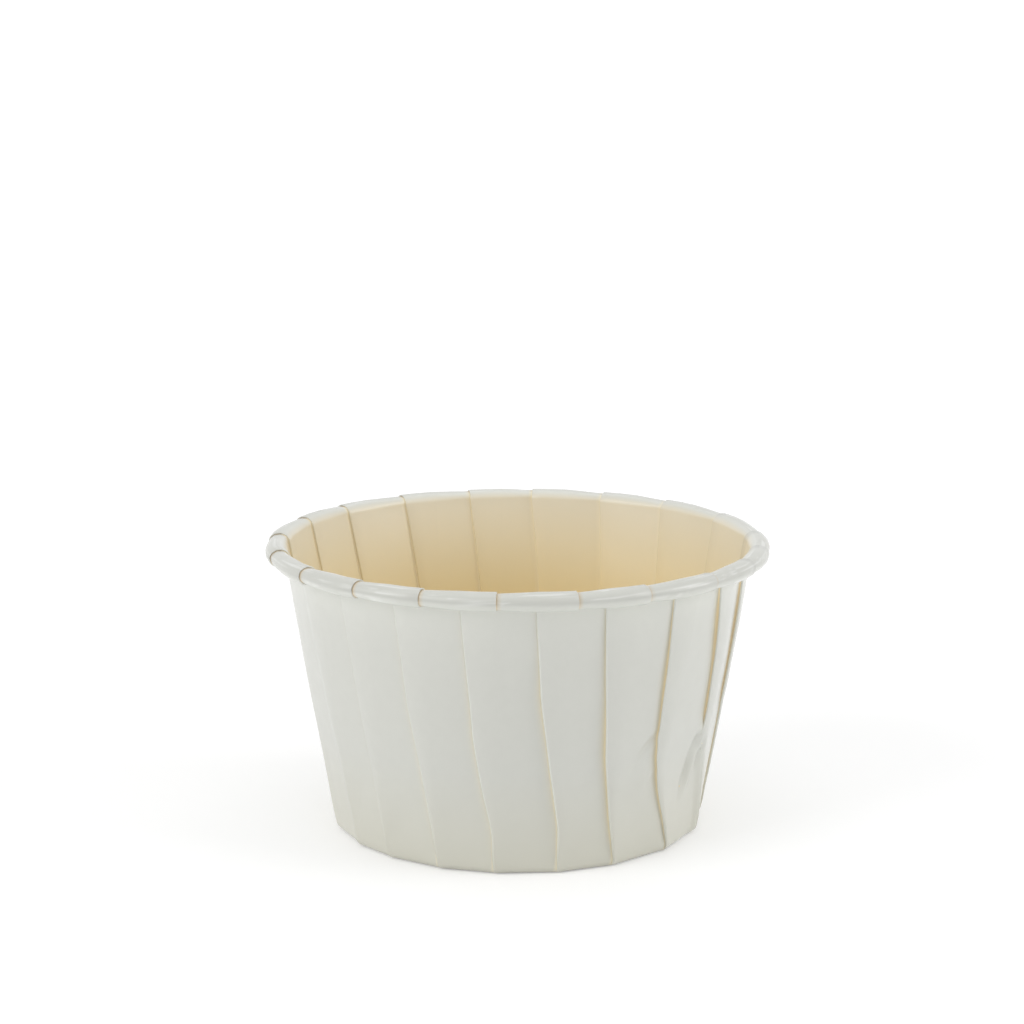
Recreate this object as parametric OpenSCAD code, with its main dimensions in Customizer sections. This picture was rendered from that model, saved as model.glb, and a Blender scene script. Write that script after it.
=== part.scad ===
// Portion cup, pressed from one round sheet of coated paper.
// The wall is taken in by knife pleats, and the edge is rolled outward.
// It stands on its flat base, centred on the origin, with +Z up.

/* [Cup] */
// Diameter across the rolled rim
rim_d = 57.2; // [54:0.2:62]
// Height from the base to the top of the rim
cup_h = 33; // [28:0.2:40]
// Diameter of the base across its corners
base_d = 42.4; // [39:0.2:44]
// Bend radius where the base turns up into the wall
base_bend_r = 0.8; // [0.8:0.1:1.6]

/* [Paper] */
// Thickness of the coated paper
paper_t = 0.15; // [0.12:0.01:0.17]
// Air left between the layers of a pleat
fold_gap = 0.05; // [0.04:0.01:0.07]

/* [Rolled rim] */
// Width of the roll, with the wall at its inner side
roll_w = 2.5; // [2.4:0.1:3.4]
// Height of the roll
roll_h = 2.1; // [2:0.1:3.2]

/* [Pleats] */
// Number of pleats
pleats = 20; // [16:1:22]
// Share of the surplus paper that the pleats take up
take_up = 0.85; // [0.6:0.05:1]
// Share of a pleat that lies clockwise of its base corner, seen from above
lean = 0.85; // [0.5:0.05:1]

/* [Colours] */
// Coated paper
paper_colour = "#eeeee6";

/* [Hidden] */

// Distance between the middles of two layers of a pleat
layer_pitch = paper_t + fold_gap;
// From the middle of the sheet to the face of a pleat's outer layer
pleat_reach = layer_pitch + paper_t / 2;
// A pleat narrower than this isn't yet folded flat
flat_fold_w = 3 * paper_t;

// Middle of the sheet at the base corner and along the roll
base_z = paper_t / 2;
base_corner_r = base_d / 2 - pleat_reach;
roll_outer_r = rim_d / 2 - pleat_reach;
roll_top_half_w = roll_w / 2 - pleat_reach;
wall_top_r = roll_outer_r - 2 * roll_top_half_w;
roll_half_h = roll_h / 2 - pleat_reach;
roll_z = cup_h - pleat_reach - roll_half_h;

// The edge tucks up inside the roll, clear of the wall's pleats
tuck_half_w = (2 * roll_top_half_w - 2 * pleat_reach) / 2 - fold_gap;

// Slope of the wall from the vertical
taper = atan2(wall_top_r - base_corner_r, roll_z - base_z);
wall_dir = [sin(taper), cos(taper)];

// Round bend between the base and the wall
bend_len = base_bend_r * tan((90 - taper) / 2);
bend_centre = [base_corner_r - bend_len, base_z + base_bend_r];
bend_end = [base_corner_r, base_z] + bend_len * wall_dir;

// Steps of the section: sheet position and the normal of its outside face
function bend_step(turn) =
    let (normal = [sin(turn), -cos(turn)])
    [bend_centre + base_bend_r * normal, normal];

function wall_step(share) =
    [bend_end + share * ([wall_top_r, roll_z] - bend_end), [cos(taper), -sin(taper)]];

function roll_step(turn, half_w) =
    let (normal = [-roll_half_h * cos(turn), -half_w * sin(turn)])
    [[roll_outer_r - half_w + half_w * cos(turn), roll_z + roll_half_h * sin(turn)],
     normal / norm(normal)];

section = concat(
    [for (share = [0, 0.5, 1]) bend_step(share * (90 - taper))],
    [for (share = [0.08, 0.35, 0.7]) wall_step(share)],
    [for (turn = [180 : -30 : 0]) roll_step(turn, roll_top_half_w)],
    [for (turn = [-36 : -36 : -180]) roll_step(turn, tuck_half_w)]);
steps = len(section);

// Distance from the middle of the flat sheet to a step
function sheet_reach(i) =
    i == 0 ? section[0][0].x : sheet_reach(i - 1) + norm(section[i][0] - section[i - 1][0]);

// Width of one pleat at a step: its share of the paper that the cup is too narrow for
function pleat_w(i) = take_up * PI * (sheet_reach(i) - section[i][0].x) / pleats;

// The sheet's way through one pleat, counter-clockwise: in under the next layer,
// back at the inner fold, out again at the outer fold. Each point holds the place
// of the sheet's middle (outward, along) and the way from there to its outside face.
function pleat_path(i) =
    let (
        rise = i == 0 ? 0 : 1,
        fold = min(1, pleat_w(i) / flat_fold_w),
        outer_fold = -lean * pleat_w(i),
        inner_fold = (1 - lean) * pleat_w(i),
        open = (1 - rise) * paper_t / 2,
        level = rise * layer_pitch,
        half_t = paper_t / 2,
        back_t = (1 - rise - rise * fold) * half_t,
        side_t = -rise * half_t,
        slope = (1 - fold) * level / 3)
    [[-level, outer_fold - paper_t, half_t, 0],
     [-level, inner_fold - open, half_t, side_t],
     [-slope, inner_fold - open / 3, back_t, side_t],
     [slope, outer_fold + open / 3, back_t, side_t],
     [level, outer_fold + open, half_t, side_t],
     [level, inner_fold + paper_t, half_t, 0]];
path_points = 6;

// A point of the sheet: outward of step i and along the ring from a base corner
function sheet_point(i, corner, outward, along) =
    let (
        at = section[i][0] + outward * section[i][1],
        angle = corner + along / at.x * 180 / PI)
    [at.x * cos(angle), at.x * sin(angle), at.y];

// All points of one face of the sheet: side is 1 outside and -1 inside
function face_points(side) = [
    for (i = [0 : steps - 1])
        let (path = pleat_path(i))
        for (k = [0 : pleats - 1], p = path)
            sheet_point(i, (k + 0.5) * 360 / pleats, p[0] + side * p[2], p[1] + side * p[3])];

// One solid: the outside face, the inside face and the cut edge between them
module pleated_sheet() {
    ring = pleats * path_points;
    grid = steps * ring;
    outside_mid = 2 * grid;
    inside_mid = outside_mid + 1;
    cut_edge = (steps - 1) * ring;
    points = concat(face_points(1), face_points(-1), [[0, 0, 0], [0, 0, paper_t]]);
    faces = [
        for (j = [0 : ring - 1])
            let (n = (j + 1) % ring)
            each concat(
                [[outside_mid, j, n], [inside_mid, grid + n, grid + j],
                 [cut_edge + n, cut_edge + j, grid + cut_edge + j],
                 [cut_edge + n, grid + cut_edge + j, grid + cut_edge + n]],
                [for (i = [0 : steps - 2])
                    let (a = i * ring + j, b = i * ring + n, c = a + ring, d = b + ring)
                    each [[a, c, d], [a, d, b],
                          [grid + a, grid + d, grid + c], [grid + a, grid + b, grid + d]]])];
    polyhedron(points, faces, convexity = 10);
}

module pleated_cup() {
    color(paper_colour) pleated_sheet();
}

pleated_cup();
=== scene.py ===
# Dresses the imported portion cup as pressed, coated paper
import bpy
import math
import random
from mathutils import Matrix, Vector, noise


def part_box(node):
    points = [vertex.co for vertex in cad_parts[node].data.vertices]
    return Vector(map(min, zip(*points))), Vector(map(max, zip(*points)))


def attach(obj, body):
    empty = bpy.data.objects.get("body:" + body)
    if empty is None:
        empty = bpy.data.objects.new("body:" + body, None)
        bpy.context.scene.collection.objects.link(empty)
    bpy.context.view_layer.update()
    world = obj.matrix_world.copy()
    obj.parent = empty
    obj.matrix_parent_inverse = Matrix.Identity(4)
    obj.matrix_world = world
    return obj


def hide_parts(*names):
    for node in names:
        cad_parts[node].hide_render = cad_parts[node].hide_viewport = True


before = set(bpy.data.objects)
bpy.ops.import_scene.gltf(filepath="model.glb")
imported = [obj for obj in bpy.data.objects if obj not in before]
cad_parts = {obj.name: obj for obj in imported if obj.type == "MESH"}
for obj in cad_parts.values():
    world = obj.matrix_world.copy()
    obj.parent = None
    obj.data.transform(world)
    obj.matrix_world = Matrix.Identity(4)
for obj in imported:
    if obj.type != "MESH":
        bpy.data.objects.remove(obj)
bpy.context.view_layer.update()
lowCorner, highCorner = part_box("pleated_cup")
print("frame loaded, cup stands", round(highCorner.z * 1000, 1), "mm high")

# lengths in metres, angles in degrees counter-clockwise from the front, seen from above
cup = {
    "pleats": 20,
    "rimRadius": (highCorner.x - lowCorner.x) / 2,
    "height": highCorner.z,
    "baseRadius": 0.0212,       # at the base corners
    "bendRadius": 0.0009,       # where the base turns up into the wall
    "paper": 0.00012,
    "pressedGap": 0.00003,      # air between layers that are pressed together
    "rolledShare": 0.62,        # share of that thickness left where the rim is rolled hard
    "rollWidth": 0.0024,        # with the wall at its inner side
    "rollHeight": 0.00205,
    "rollCrease": 0.00004,      # fine ridges along the roll
    "outerTurn": -4.2,          # a pleat's outer fold at the rim, from its even place
    "pleatTurn": 8.4,           # from there to its inner fold
    "cornerSpread": 0.0003,     # half the paper that is creased at a base corner
    "bendFold": 0.7,            # how far a pleat is folded at the end of the base bend
    "foldedBy": 0.04,           # height share of the wall at which it is folded flat
    "rimFlat": 0.25,            # how flat the panels still are at the rim
    "wander": 0.25,             # how far a fold strays from its straight stretches
    "nose": 0.00016,            # how far the outer fold rounds off, along the wall
    "noseLit": 0.35,            # how much of the light through the sheet its edge shows
    "seamReach": 0.0004,        # how far the painted warm shade beside an inner fold reaches
    "liftReach": 0.0062,        # how far a raised edge bends its panel
    "backLift": 0.9,            # share of the lift that the middle layer follows
    "sinkReach": 0.0026,        # how far a panel dips before it goes under the next
    "sink": 0.00014,
    "flushReach": 0.0014,       # how far it rises again where the fold is ironed flat
    "shadeReach": 0.0012,       # how far the warm shade beside a fold reaches
    "shadeTint": 0.7,
    "gapReach": 0.0004,         # the strip of painted warm shade right under a raised edge
    "gapTint": 0.5,
    "gapLift": 0.0002,          # the lift at which that strip has its full tint
    "waviness": 0.00007,        # soft unevenness of the wall
    "waveScale": Vector((130, 130, 60)),
    "crumple": 0.00009,         # finer creasing close to the base
    "crumpleHeight": 0.005,
    "crumpleScale": 420,
}

# pleats that stray from the even places: the turn at the base corner and of the outer fold
# at the rim, where the fold bends on its way up (share of the height, share of the turn),
# how far its edge stands off and at which height share the most, how deep the shade
# beside it is, the height share below which it is pressed shut and lies flush, and how
# many times finer its panels are laid out for the creases on them
strays = {
    -99: {"corner": 3.5, "outer": -3.6, "bends": [(0.10, 0), (0.5, 0.6)], "lift": 0.00018},
    -81: {"corner": 5.0, "outer": -3.2, "bends": [(0.05, 0), (0.5, 0.6)], "lift": 0.00010, "shade": 0.2},
    -63: {"corner": 5.3, "outer": -1.7, "bends": [(0.05, 0), (0.5, 0.6)], "lift": 0.00008, "shade": 0.15},
    -45: {"corner": 2.7, "outer": -1.6, "bends": [(0.05, 0), (0.5, 0.6)], "lift": 0.00010, "shade": 0.2},
    -27: {"corner": 3.1, "outer": -3.0, "bends": [(0.35, 0.42), (0.60, 0.80)], "lift": 0.00015,
          "peak": 0.30, "shade": 0.45},
    -9: {"corner": 2.2, "outer": -4.1, "bends": [(0.13, 0), (0.28, 0.36), (0.50, 0.71)],
         "lift": 0.00019, "peak": 0.33, "shade": 0.65},
    9: {"corner": 3.0, "outer": -4.6, "bends": [(0.15, 0.02), (0.37, 0.42), (0.64, 0.76)],
        "lift": 0.00022, "peak": 0.38, "shade": 0.60},
    27: {"corner": 2.9, "outer": -6.1, "bends": [(0.15, 0.30), (0.39, 0.63)], "lift": 0.00022,
         "peak": 0.38, "shade": 0.65},
    45: {"corner": 6.6, "outer": -5.0, "bends": [(0.22, 0.66), (0.34, 0.89), (0.75, 0.95)],
         "lift": 0.00026, "peak": 0.48, "shade": 0.75, "finer": 2},
    63: {"corner": 9.6, "outer": -5.8, "bends": [(0.40, 0.655), (0.52, 0.66), (0.67, 0.72)],
         "lift": 0.00025, "peak": 0.68, "shade": 0.70, "shut": 0.38, "flush": 1, "finer": 3.5},
    81: {"corner": 11.0, "outer": -9.0, "bends": [(0.36, 0.38), (0.47, 0.675), (0.61, 0.695)],
         "lift": 0.00020, "peak": 0.70, "shade": 0.60, "shut": 0.43},
    99: {"corner": 9.5, "outer": -11.0, "bends": [(0.05, 0), (0.5, 0.6)], "lift": 0.00028},
    117: {"corner": 5.5, "outer": -7.5, "bends": [(0.10, 0), (0.5, 0.6)], "lift": 0.00026},
}

# soft dents pressed into the wall: place, slant of their length, size and depth
dents = [
    {"angle": 36.5, "height": 0.0130, "slant": 45, "length": 0.0040, "width": 0.0008, "depth": 0.00030},
    {"angle": 38.5, "height": 0.0100, "slant": 40, "length": 0.0034, "width": 0.0012, "depth": -0.00022},
    {"angle": 60.0, "height": 0.0120, "slant": 40, "length": 0.0024, "width": 0.0005, "depth": 0.00055},
    {"angle": 57.2, "height": 0.0090, "slant": 18, "length": 0.0034, "width": 0.0005, "depth": 0.00060},
    {"angle": 63.0, "height": 0.0104, "slant": 20, "length": 0.0036, "width": 0.0005, "depth": 0.00045},
    {"angle": 60.2, "height": 0.0088, "slant": 20, "length": 0.0032, "width": 0.0009, "depth": -0.00028},
    {"angle": -36, "height": 0.0045, "slant": 35, "length": 0.0040, "width": 0.0012, "depth": 0.00010},
    {"angle": -52, "height": 0.0070, "slant": 20, "length": 0.0060, "width": 0.0014, "depth": 0.00009},
    {"angle": 118, "height": 0.0120, "slant": -30, "length": 0.0060, "width": 0.0010, "depth": 0.00018},
    {"angle": 171, "height": 0.0080, "slant": 40, "length": 0.0050, "width": 0.0011, "depth": 0.00014},
    {"angle": -122, "height": 0.0100, "slant": 22, "length": 0.0065, "width": 0.0010, "depth": 0.00016},
]

# how finely the sheet is laid out, along it and round each pleat
layout = {
    "baseShares": [0.35, 0.65, 0.85, 0.95, 1.0],
    "bendSteps": 6,
    "wallSteps": 49,
    "lowWall": (0.64, 0.48),        # share of those steps, for the lower share of the wall
    "rollSteps": 22,
    "tuckSteps": 9,
    "approach": 6,
    "under": 3,
    "innerTurn": 2,
    "back": 3,
    "outerTurn": 3,
    "over": 4,
    "leave": 4,
}


def smooth(share):
    share = max(0.0, min(1.0, share))
    return share * share * (3 - 2 * share)


def mix(a, b, share):
    return a + (b - a) * share


# one entry per step from the base's edge to the cut edge inside the roll: place and
# outward normal of the sheet's middle, height share of the wall and share of the roll
def sectionSteps():
    layerPitch = cup["paper"] + cup["pressedGap"]
    reach = layerPitch + cup["paper"] / 2
    baseZ = cup["paper"] / 2
    cornerR = cup["baseRadius"] - reach
    rollReach = reach * cup["rolledShare"]
    outerR = cup["rimRadius"] - rollReach
    halfW = cup["rollWidth"] / 2 - rollReach
    halfH = cup["rollHeight"] / 2 - rollReach
    topR = outerR - 2 * halfW
    rollZ = cup["height"] - rollReach - halfH
    tuckW = halfW - rollReach - cup["pressedGap"]
    taper = math.atan2(topR - cornerR, rollZ - baseZ)
    wallDir = Vector((math.sin(taper), math.cos(taper)))
    bendLength = cup["bendRadius"] * math.tan((math.pi / 2 - taper) / 2)
    bendMid = Vector((cornerR - bendLength, baseZ + cup["bendRadius"]))
    bendEnd = Vector((cornerR, baseZ)) + bendLength * wallDir
    wallTop = Vector((topR, rollZ))
    steps = []
    for share in layout["baseShares"]:
        steps.append({"at": Vector((bendMid.x * share, baseZ)), "normal": Vector((0, -1)),
                      "wall": 0, "fold": 0, "roll": 0, "flat": share ** 2, "base": share})
    for i in range(1, layout["bendSteps"] + 1):
        share = i / layout["bendSteps"]
        turn = share * (math.pi / 2 - taper)
        normal = Vector((math.sin(turn), -math.cos(turn)))
        steps.append({"at": bendMid + cup["bendRadius"] * normal, "normal": normal, "wall": 0,
                      "fold": cup["bendFold"] * smooth(share), "roll": 0, "flat": 1, "base": 1})
    for i in range(1, layout["wallSteps"]):
        done = i / layout["wallSteps"]
        lowSteps, lowWall = layout["lowWall"]
        if done < lowSteps:
            share = done * lowWall / lowSteps
        else:
            share = mix(lowWall, 1, (done - lowSteps) / (1 - lowSteps))
        fold = mix(cup["bendFold"], 1, smooth(share / cup["foldedBy"]))
        flat = mix(1, cup["rimFlat"], smooth(share))
        steps.append({"at": bendEnd.lerp(wallTop, share), "normal": Vector((wallDir.y, -wallDir.x)),
                      "wall": share, "fold": fold, "roll": 0, "flat": flat, "base": 1})
    for i in range(layout["rollSteps"] + 1):
        turn = math.pi * (1 - i / layout["rollSteps"])
        steps.append(rollStep(outerR, rollZ, halfW, halfH, turn))
    for i in range(1, layout["tuckSteps"] + 1):
        turn = -math.pi * i / layout["tuckSteps"]
        steps.append(rollStep(outerR, rollZ, tuckW, halfH, turn))
    return steps


def rollStep(outerR, rollZ, halfW, halfH, turn):
    at = Vector((outerR - halfW + halfW * math.cos(turn), rollZ + halfH * math.sin(turn)))
    normal = Vector((-halfH * math.cos(turn), -halfW * math.sin(turn))).normalized()
    return {"at": at, "normal": normal, "wall": 1, "fold": 1, "roll": 1 - turn / math.pi,
            "flat": cup["rimFlat"], "base": 1}


# how thick the sheet still is at a step
def thicknessAt(step):
    return mix(1, cup["rolledShare"], smooth(step["roll"] * 5))


# the twenty pleats in turn, with the strays in their places
def pleatCourses():
    luck = random.Random(7)
    courses = []
    for i in range(cup["pleats"]):
        even = (i + 0.5) * 360 / cup["pleats"] - 180
        course = {
            "corner": luck.uniform(-1.4, 1.4),
            "outer": cup["outerTurn"] + luck.uniform(-0.9, 0.9),
            "bends": [(luck.uniform(0, 0.18), 0), (luck.uniform(0.38, 0.5), luck.uniform(0.52, 0.72))],
            "lift": luck.uniform(0.00016, 0.00034),
            "peak": luck.uniform(0.32, 0.6),
            "shade": luck.uniform(0.3, 0.7),
            "shut": 0,
            "flush": 0,
            "finer": 1,
        }
        course.update(strays.get(round(even), {}))
        for key in ("corner", "outer"):
            course[key] += even
        course["seed"] = i * 3.7
        courses.append(course)
    return courses


# share of its turn that a fold has made: straight stretches with soft bends between them
def turnedAt(course, up):
    bends = [(0, 0)] + course["bends"] + [(1, 1)]
    shifts = (-0.03, -0.015, 0, 0.015, 0.03)
    total = 0
    for shift in shifts:
        here = max(0, min(1, up + shift))
        for (fromUp, fromTurn), (toUp, toTurn) in zip(bends, bends[1:]):
            if here <= toUp:
                total += mix(fromTurn, toTurn, (here - fromUp) / max(toUp - fromUp, 0.001))
                break
    return total / len(shifts)


# angles of a pleat's outer and inner fold at a step, how far its edge stands off and
# how deep the shade beside it is
def foldsAt(course, step):
    up = step["wall"]
    wander = cup["wander"] * noise.noise(Vector((course["seed"], up * 4, 0))) * math.sin(math.pi * up)
    outer = mix(course["corner"], course["outer"], turnedAt(course, up)) + wander
    swell = math.sin(math.pi * up ** (math.log(0.5) / math.log(course["peak"])))
    swell = max(0, swell) * smooth((up - course["shut"]) / 0.1)
    uneven = 0.8 + 0.6 * noise.noise(Vector((course["seed"] + 9, up * 4, 5)))
    return (outer, outer + cup["pleatTurn"] * up, course["lift"] * swell * uneven,
            course["shade"] * swell * uneven)


# unevenness of the sheet that all its layers share
def reliefAt(angle, step):
    height = step["at"].y
    around = math.radians(angle)
    ringR = step["at"].x
    spot = Vector((ringR * math.sin(around), -ringR * math.cos(around), height))
    share = step["base"] ** 2 * (1 - 0.75 * smooth(step["roll"] * 4))
    wave = noise.noise(spot * cup["waveScale"])
    relief = cup["waviness"] * wave * share * smooth(height / 0.004)
    near = math.exp(-height / cup["crumpleHeight"]) * smooth(height / 0.0012)
    relief += cup["crumple"] * near * noise.noise(spot * cup["crumpleScale"])
    ridge = noise.noise(Vector((angle * 0.11, step["roll"] * 8, 3)))
    relief += cup["rollCrease"] * ridge * smooth(step["roll"] * 3)
    if 0 < step["wall"] < 1:
        for dent in dents:
            relief -= dentAt(dent, angle, height, ringR)
    return relief


def dentAt(dent, angle, height, ringR):
    aside = math.radians((angle - dent["angle"] + 180) % 360 - 180) * ringR
    up = height - dent["height"]
    slant = math.radians(dent["slant"])
    along = up * math.cos(slant) + aside * math.sin(slant)
    across = aside * math.cos(slant) - up * math.sin(slant)
    fall = (along / dent["length"]) ** 2 + (across / dent["width"]) ** 2
    return dent["depth"] * math.exp(-2 * fall) if fall < 6 else 0


# the sheet's middle round one ring: angle, distance outward, how much painted warm shade and glow
# its outside and its inside face get where tucked away or beside a fold, and the painted light at a fold
# edge
def ringPath(step, courses):
    pitch = (cup["paper"] + cup["pressedGap"]) * thicknessAt(step)
    ringR = step["at"].x / max(step["base"], 0.001)
    degree = 180 / math.pi / ringR
    folds = [foldsAt(course, step) for course in courses]
    count = len(folds)
    path = []
    for k in range(count):
        outer, inner, lift, shade = folds[k]
        lastInner = folds[k - 1][1] - (360 if k == 0 else 0)
        nextOuter = folds[(k + 1) % count][0] + (360 if k == count - 1 else 0)
        lastMid = (lastInner + outer) / 2
        nextMid = (inner + nextOuter) / 2
        corner = (outer + inner) / 2
        spread = cup["cornerSpread"] * degree
        lastLift = folds[k - 1][2]
        lastOuter = folds[k - 1][0] - (360 if k == 0 else 0)
        sink = cup["sink"] * shade
        approach = round(layout["approach"] * courses[k]["finer"])
        leave = round(layout["leave"] * courses[k]["finer"])
        ironed = courses[k]["flush"] * (1 - smooth((step["wall"] - courses[k]["shut"]) / 0.1))

        def raised(angle, fromOuter, amount):
            return amount * (1 - smooth((angle - fromOuter) / degree / cup["liftReach"]))

        def level(angle, fromInner, toOuter):
            return pitch * (1 - 2 * (angle - fromInner) / max(toOuter - fromInner, 0.01))

        points = []
        for i in range(approach):
            angle = mix(lastMid, outer, (i / approach) ** 0.7)
            away = (outer - angle) / degree
            dip = sink * (1 - smooth(away / cup["sinkReach"]))
            dip -= 2 * pitch * ironed * (1 - smooth(away / cup["flushReach"]))
            outward = level(angle, lastInner, outer) + raised(angle, lastOuter, lastLift) - dip
            # painted warm shade beside the fold, stronger in the gap under a raised edge
            tuck = cup["shadeTint"] * shade * max(0, 1 - away / cup["shadeReach"]) ** 1.5
            near = max(0, 1 - away / cup["gapReach"])
            tuck += cup["gapTint"] * min(1, lift / cup["gapLift"]) * near
            points.append((angle, outward, min(1, tuck), 0, 0))
        for i in range(layout["under"]):
            share = i / (layout["under"] - 1)
            points.append((mix(outer, inner, share), -pitch - sink * (1 - share), 1, 0, 0))
        for i in range(layout["innerTurn"]):
            turn = math.radians(mix(-60, 60, i / (layout["innerTurn"] - 1)))
            bulge = pitch / 2 * math.cos(turn) * degree
            points.append((inner + bulge, -pitch / 2 + pitch / 2 * math.sin(turn), 1, 0, 0))
        backLift = cup["backLift"] * lift
        for i in range(layout["back"]):
            share = i / (layout["back"] - 1)
            points.append((mix(inner, outer, share), backLift * share ** 1.5, 1 - 0.2 * share, 1, 0))
        half = (pitch + lift - backLift) / 2
        for i in range(layout["outerTurn"]):
            share = i / (layout["outerTurn"] - 1)
            turn = math.radians(mix(-60, 60, share))
            bulge = cup["nose"] * math.cos(turn) * degree
            points.append((outer - bulge, backLift + half + half * math.sin(turn),
                           0.4 * (1 - share) ** 2, 1, cup["noseLit"]))
        for i in range(layout["over"]):
            share = i / (layout["over"] - 1)
            angle = mix(outer, inner, share)
            points.append((angle, pitch + raised(angle, outer, lift), 0, 1, 0))
        for i in range(1, leave + 1):
            angle = mix(inner, nextMid, (i / (leave + 1)) ** 1.3)
            away = (angle - inner) / degree
            outward = level(angle, inner, nextOuter) + raised(angle, outer, lift)
            points.append((angle, outward, 0, max(0, 1 - away / cup["seamReach"]), 0))

        # near a base corner the folded paper is still spread out flat
        first, last = approach, len(points) - leave
        for i, (angle, outward, tuckOut, tuckIn, lit) in enumerate(points):
            if i < first:
                flatAngle = mix(lastMid, corner - spread, (i / first) ** 0.7)
            elif i < last:
                flatAngle = corner + spread * (2 * (i - first) / (last - first - 1) - 1)
            else:
                flatAngle = mix(corner + spread, nextMid, ((i - last + 1) / (leave + 1)) ** 1.3)
            fold = step["fold"]
            path.append((mix(flatAngle, angle, fold), outward * fold, tuckOut * fold, tuckIn * fold,
                         lit * smooth(step["wall"] * 8)))
    corners = [(outer + inner) / 2 for outer, inner, lift, shade in folds]
    return path, corners


# how far inside the round the straight panel between two corners runs at an angle
def panelShare(angle, corners, flat):
    count = len(corners)
    for k in range(count):
        low = corners[k]
        high = corners[(k + 1) % count] + (360 if k == count - 1 else 0)
        turned = angle
        while turned < low:
            turned += 360
        while turned >= low + 360:
            turned -= 360
        if turned <= high:
            half = (high - low) / 2
            chord = math.cos(math.radians(half)) / math.cos(math.radians(turned - low - half))
            return mix(1, chord, flat)
    return 1


def sheetFaces(step, courses):
    path, corners = ringPath(step, courses)
    ringR = step["at"].x / max(step["base"], 0.001)
    half = cup["paper"] / 2 * thicknessAt(step)
    count = len(path)
    outside, inside = [], []
    for j in range(count):
        angle, outward, tuckOut, tuckIn, lit = path[j]
        before, after = path[j - 1], path[(j + 1) % count]
        run = math.radians((after[0] - before[0] + 180) % 360 - 180) * ringR
        rise = after[1] - before[1]
        length = math.hypot(run, rise) or 1
        aside, out = -rise / length * half, run / length * half
        lean = math.degrees(aside / ringR)
        share = panelShare(angle, corners, step["flat"])
        relief = reliefAt(angle, step)
        outside.append((place(step, angle + lean, outward + out + relief, share), tuckOut, lit, 0))
        inside.append((place(step, angle - lean, outward - out + relief, share), tuckIn, 0,
                       highlightStreakAt(angle, step)))
    return outside, inside


def place(step, angle, outward, share):
    r = step["at"].x * share + outward * step["normal"].x
    z = step["at"].y + outward * step["normal"].y
    around = math.radians(angle)
    return Vector((r * math.sin(around), -r * math.cos(around), max(z, 0)))


# how much light comes through the thin sheet at the roll's lower lip, on its inside
# face, and on the outside of the wall just under it
def litAt(step, side):
    if step["roll"] > 0:
        return side * smooth((step["roll"] - 0.98) / 0.2)
    below = cup["height"] - cup["rollHeight"] - step["at"].y
    return (1 - side) * paper["litWall"] * min(1, math.exp(-below / paper["litReach"]))


# painted highlight streaks along the roll
def highlightStreakAt(angle, step):
    across = step["roll"]
    if not 0.25 < across < 1.25:
        return 0
    value = noise.noise(Vector((angle * 0.08, across * 12, 7))) + 0.35 * noise.noise(
        Vector((angle * 0.5, across * 16, 11)))
    return smooth((value - 0.16) / 0.35) * smooth((across - 0.25) * 6)


def buildCup():
    steps = sectionSteps()
    courses = pleatCourses()
    outer, inner = [], []
    for step in steps:
        outside, inside = sheetFaces(step, courses)
        outer.append(outside)
        inner.append(inside)
    ring = len(outer[0])
    grid = ring * len(steps)
    places = []
    marks = {"tuck": [], "inside": [], "rolled": [], "lit": [], "highlightStreak": []}
    for side, rows in ((0, outer), (1, inner)):
        for step, row in zip(steps, rows):
            places += [spot for spot, tuck, lit, highlightStreak in row]
            marks["tuck"] += [tuck for spot, tuck, lit, highlightStreak in row]
            marks["inside"] += [side * (1 - smooth(step["roll"] * 3))] * len(row)
            marks["rolled"] += [smooth((step["roll"] - 0.3) * 5)] * len(row)
            marks["lit"] += [max(lit, litAt(step, side)) for spot, tuck, lit, highlightStreak in row]
            marks["highlightStreak"] += [highlightStreak for spot, tuck, lit, highlightStreak in row]
    places += [Vector((0, 0, 0)), Vector((0, 0, cup["paper"]))]
    for name, last in (("tuck", 0), ("inside", 1), ("rolled", 0), ("lit", 0), ("highlightStreak", 0)):
        marks[name] += [0, last]
    faces = []
    edge = (len(steps) - 1) * ring
    for j in range(ring):
        n = (j + 1) % ring
        faces.append((2 * grid, n, j))
        faces.append((2 * grid + 1, grid + j, grid + n))
        faces.append((edge + j, edge + n, grid + edge + n, grid + edge + j))
        for i in range(len(steps) - 1):
            a, b = i * ring + j, i * ring + n
            c, d = a + ring, b + ring
            faces.append((a, b, d, c))
            faces.append((grid + b, grid + a, grid + c, grid + d))
    mesh = bpy.data.meshes.new("pleatedPaper")
    mesh.from_pydata(places, [], faces)
    for name, values in marks.items():
        mesh.attributes.new(name, "FLOAT", "POINT").data.foreach_set("value", values)
    mesh.shade_smooth()
    mesh.update()
    piece = bpy.data.objects.new("pleatedPaper", mesh)
    bpy.context.collection.objects.link(piece)
    print("cup folded:", len(places), "points,", len(faces), "faces")
    return piece


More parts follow.
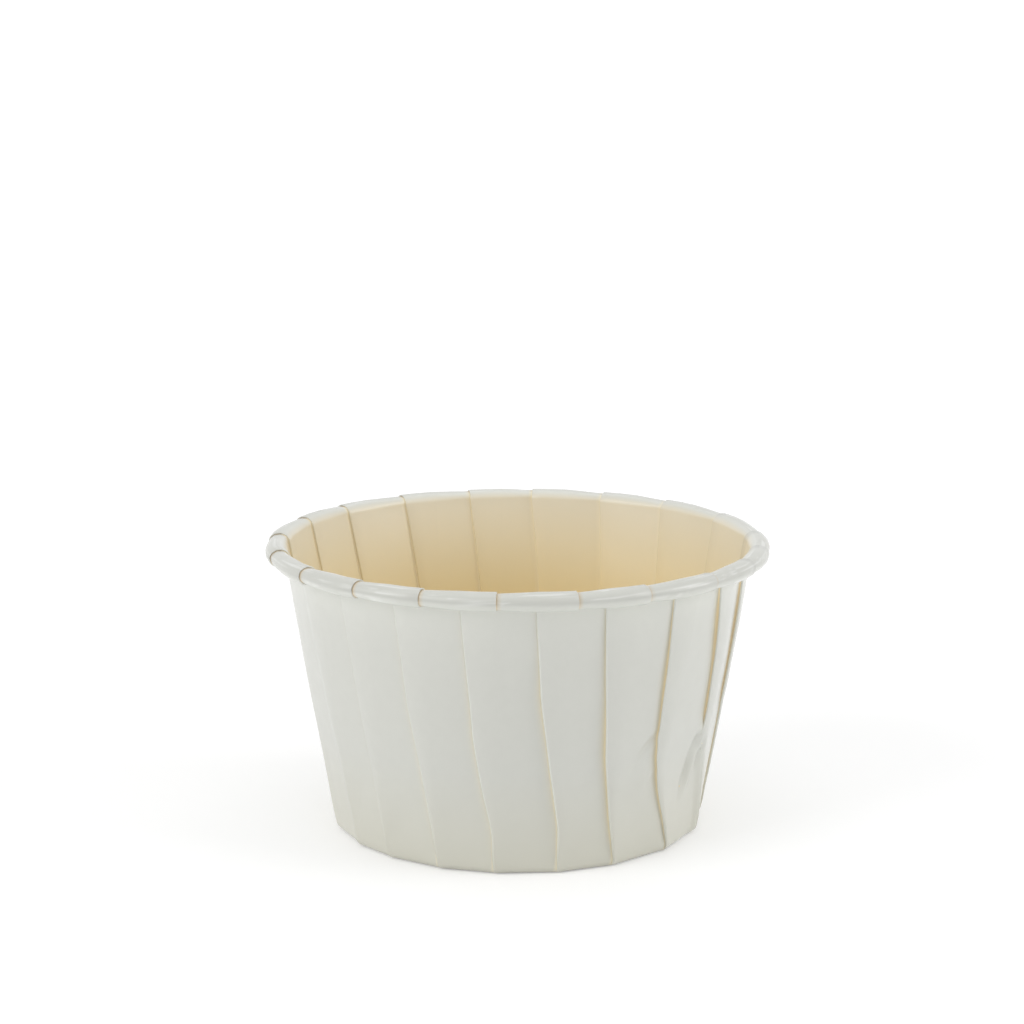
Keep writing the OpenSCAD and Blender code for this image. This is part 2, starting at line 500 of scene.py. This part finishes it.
paper = {
    "white": (0.66, 0.665, 0.615, 1),
    "low": (0.655, 0.645, 0.555, 1),      # painted shade, warmer close to the base
    "lowShadeReach": 0.012,
    "rolled": (0.57, 0.575, 0.53, 1),     # painted shade on the roll, greyer
    "highlightStreak": (0.70, 0.705, 0.67, 1),     # painted highlight streaks along it
    "seamShade": (0.56, 0.41, 0.21, 1),        # painted shade where one pleat goes under the next on the roll
    "inside": (0.81, 0.67, 0.38, 1),      # light that has crossed the mouth and come back
    "insideTop": (0.76, 0.71, 0.58, 1),   # the painted light on the inside just below the rim, paler
    "insideReach": (0.020, 0.033),
    "tucked": (0.78, 0.68, 0.44, 1),      # painted warm shade between the layers of a pleat
    "glow": (1.0, 0.96, 0.85, 1),         # light that comes through the sheet there
    "glowStrength": 0.15,
    "rolledGlow": 0.3,                    # share of it that is left on the roll
    "lit": (0.97, 1.0, 0.93, 1),          # light that comes through at lips and fold edges
    "litStrength": 0.16,
    "litWall": 0.75,                      # share of it on the wall just under the roll
    "litReach": 0.0020,
    "roughness": 0.48,
    "coat": 0.6,
    "coatRoughness": 0.2,
    "fibre": 0.05,
    "speck": (0.30, 0.28, 0.25, 1),
}


def coatedPaper():
    material = bpy.data.materials.new("coatedPaper")
    material.use_nodes = True
    nodes, links = material.node_tree.nodes, material.node_tree.links
    shader = nodes["Principled BSDF"]
    shader.inputs["Coat Weight"].default_value = paper["coat"]
    shader.inputs["Coat Roughness"].default_value = paper["coatRoughness"]
    where = nodes.new("ShaderNodeTexCoord")

    def cloud(scale, detail):
        node = nodes.new("ShaderNodeTexNoise")
        node.inputs["Scale"].default_value = scale
        node.inputs["Detail"].default_value = detail
        links.new(where.outputs["Object"], node.inputs["Vector"])
        return node

    def ranged(value, low, high, toLow, toHigh):
        node = nodes.new("ShaderNodeMapRange")
        node.inputs["From Min"].default_value = low
        node.inputs["From Max"].default_value = high
        node.inputs["To Min"].default_value = toLow
        node.inputs["To Max"].default_value = toHigh
        links.new(value, node.inputs["Value"])
        return node.outputs["Result"]

    def blended(share, first, second):
        node = nodes.new("ShaderNodeMix")
        node.data_type = "RGBA"
        for socket, colour in ((node.inputs[6], first), (node.inputs[7], second)):
            if isinstance(colour, tuple):
                socket.default_value = colour
            else:
                links.new(colour, socket)
        links.new(share, node.inputs[0])
        return node.outputs[2]

    def painted(name):
        node = nodes.new("ShaderNodeAttribute")
        node.attribute_name = name
        return node.outputs["Fac"]

    # cloudy tone of the pulp, then painted shade near the base and on the roll, painted highlight
    # streaks, the painted light inside and the painted warm shade between the hidden layers
    mottle = ranged(cloud(900, 4).outputs["Fac"], 0.3, 0.7, 0, 1)
    pulp = blended(mottle, tuple(c * 0.985 for c in paper["white"][:3]) + (1,), paper["white"])
    spot = nodes.new("ShaderNodeSeparateXYZ")
    links.new(where.outputs["Object"], spot.inputs["Vector"])
    height = spot.outputs["Z"]
    outer = blended(ranged(height, 0, paper["lowShadeReach"], 0, 1), paper["low"], pulp)
    outer = blended(painted("rolled"), outer, paper["rolled"])
    outer = blended(painted("highlightStreak"), outer, paper["highlightStreak"])
    insideLight = blended(ranged(height, *paper["insideReach"], 0, 1), paper["inside"], paper["insideTop"])
    inner = blended(painted("inside"), outer, insideLight)
    hidden = blended(painted("rolled"), paper["tucked"], paper["seamShade"])
    tucked = blended(painted("tuck"), inner, hidden)
    through = nodes.new("ShaderNodeMath")
    through.operation = "MULTIPLY"
    links.new(ranged(painted("tuck"), 0, 1, 0, paper["glowStrength"]), through.inputs[0])
    links.new(ranged(painted("rolled"), 0, 1, 1, paper["rolledGlow"]), through.inputs[1])
    glow = nodes.new("ShaderNodeMath")
    glow.operation = "ADD"
    links.new(through.outputs["Value"], glow.inputs[0])
    links.new(ranged(painted("lit"), 0, 1, 0, paper["litStrength"]), glow.inputs[1])
    links.new(glow.outputs["Value"], shader.inputs["Emission Strength"])
    links.new(blended(painted("tuck"), paper["lit"], paper["glow"]), shader.inputs["Emission Color"])

    # a few fine specks in the pulp
    cells = nodes.new("ShaderNodeTexVoronoi")
    cells.inputs["Scale"].default_value = 150
    links.new(where.outputs["Object"], cells.inputs["Vector"])
    dot = ranged(cells.outputs["Distance"], 0.012, 0.03, 0.6, 0)
    chosen = nodes.new("ShaderNodeMath")
    chosen.operation = "MULTIPLY"
    links.new(dot, chosen.inputs[0])
    pick = nodes.new("ShaderNodeSeparateColor")
    links.new(cells.outputs["Color"], pick.inputs["Color"])
    links.new(ranged(pick.outputs["Red"], 0.5, 0.9, 0, 1), chosen.inputs[1])
    links.new(blended(chosen.outputs["Value"], tucked, paper["speck"]), shader.inputs["Base Color"])

    sheen = cloud(350, 2).outputs["Fac"]
    links.new(ranged(sheen, 0.3, 0.7, paper["roughness"] - 0.06, paper["roughness"] + 0.06),
              shader.inputs["Roughness"])
    bump = nodes.new("ShaderNodeBump")
    bump.inputs["Strength"].default_value = paper["fibre"]
    bump.inputs["Distance"].default_value = 0.0001
    links.new(cloud(2600, 5).outputs["Fac"], bump.inputs["Height"])
    links.new(bump.outputs["Normal"], shader.inputs["Normal"])
    print("paper mixed")
    return material


studio = {
    "worldLight": 0.66,
    "floorSize": 12,
    "floorDrop": 0.00002,           # keeps it clear of the base's underside
    "floorColour": (0.80, 0.80, 0.80, 1),
    "floorGlow": (0.27, 0.55),      # near the cup and far from it
    "floorGlowReach": (0.12, 0.9),
    "key": {"place": (-0.72, -0.42, 0.46), "size": 0.6, "power": 2.9},
    "fill": {"place": (0.85, -0.15, 0.42), "size": 0.6, "power": 2.6},
    "top": {"place": (0.0, 0.15, 0.95), "size": 0.9, "power": 1.3},
    "aim": (0, 0, 0.018),
}


def cameraRays(nodes, links):
    path = nodes.new("ShaderNodeLightPath")
    total = path.outputs["Is Camera Ray"]
    for name in ("Is Glossy Ray", "Is Transmission Ray"):
        add = nodes.new("ShaderNodeMath")
        add.operation = "MAXIMUM"
        links.new(total, add.inputs[0])
        links.new(path.outputs[name], add.inputs[1])
        total = add.outputs["Value"]
    return total


def buildStudio():
    world = bpy.data.worlds.new("studio")
    bpy.context.scene.world = world
    world.use_nodes = True
    nodes, links = world.node_tree.nodes, world.node_tree.links
    back = nodes["Background"]
    back.inputs["Color"].default_value = (1, 1, 1, 1)
    strength = nodes.new("ShaderNodeMapRange")
    strength.inputs["To Min"].default_value = studio["worldLight"]
    strength.inputs["To Max"].default_value = 1
    links.new(cameraRays(nodes, links), strength.inputs["Value"])
    links.new(strength.outputs["Result"], back.inputs["Strength"])

    half = studio["floorSize"] / 2
    mesh = bpy.data.meshes.new("floor")
    under = -studio["floorDrop"]
    corners = [(-half, -half, under), (half, -half, under), (half, half, under), (-half, half, under)]
    mesh.from_pydata(corners, [], [(0, 1, 2, 3)])
    floor = bpy.data.objects.new("floor", mesh)
    bpy.context.collection.objects.link(floor)
    material = bpy.data.materials.new("paleFloor")
    material.use_nodes = True
    nodes, links = material.node_tree.nodes, material.node_tree.links
    shader = nodes["Principled BSDF"]
    shader.inputs["Base Color"].default_value = studio["floorColour"]
    shader.inputs["Roughness"].default_value = 0.9
    shader.inputs["Specular IOR Level"].default_value = 0.1
    shader.inputs["Emission Color"].default_value = (1, 1, 1, 1)
    where = nodes.new("ShaderNodeTexCoord")
    away = nodes.new("ShaderNodeVectorMath")
    away.operation = "LENGTH"
    links.new(where.outputs["Object"], away.inputs[0])
    level = nodes.new("ShaderNodeMapRange")
    for ends, values in (("From", studio["floorGlowReach"]), ("To", studio["floorGlow"])):
        level.inputs[ends + " Min"].default_value, level.inputs[ends + " Max"].default_value = values
    links.new(away.outputs["Value"], level.inputs["Value"])
    glow = nodes.new("ShaderNodeMath")
    glow.operation = "MULTIPLY"
    links.new(level.outputs["Result"], glow.inputs[1])
    links.new(cameraRays(nodes, links), glow.inputs[0])
    links.new(glow.outputs["Value"], shader.inputs["Emission Strength"])
    mesh.materials.append(material)

    for name in ("key", "fill", "top"):
        lamp = bpy.data.lights.new(name, "AREA")
        lamp.size = studio[name]["size"]
        lamp.energy = studio[name]["power"]
        holder = bpy.data.objects.new(name, lamp)
        holder.location = studio[name]["place"]
        aim = Vector(studio["aim"]) - holder.location
        holder.rotation_euler = aim.to_track_quat("-Z", "Y").to_euler()
        bpy.context.collection.objects.link(holder)
    print("studio lit")


view = {
    "place": (0, -0.3, 0.0987),
    "aim": (-0.00065, 0, 0.0358),
    "lens": 95.2,
}


def placeCamera():
    camera = bpy.data.objects.new("camera", bpy.data.cameras.new("camera"))
    camera.data.lens = view["lens"]
    camera.data.sensor_width = 36
    camera.data.clip_start = 0.01
    camera.location = view["place"]
    ahead = Vector(view["aim"]) - camera.location
    camera.rotation_euler = ahead.to_track_quat("-Z", "Y").to_euler()
    bpy.context.collection.objects.link(camera)
    bpy.context.scene.camera = camera
    bpy.context.scene.view_settings.view_transform = "Standard"
    print("camera set")


placeCamera()
buildStudio()
piece = buildCup()
piece.data.materials.append(coatedPaper())
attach(piece, "root")
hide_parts("pleated_cup")
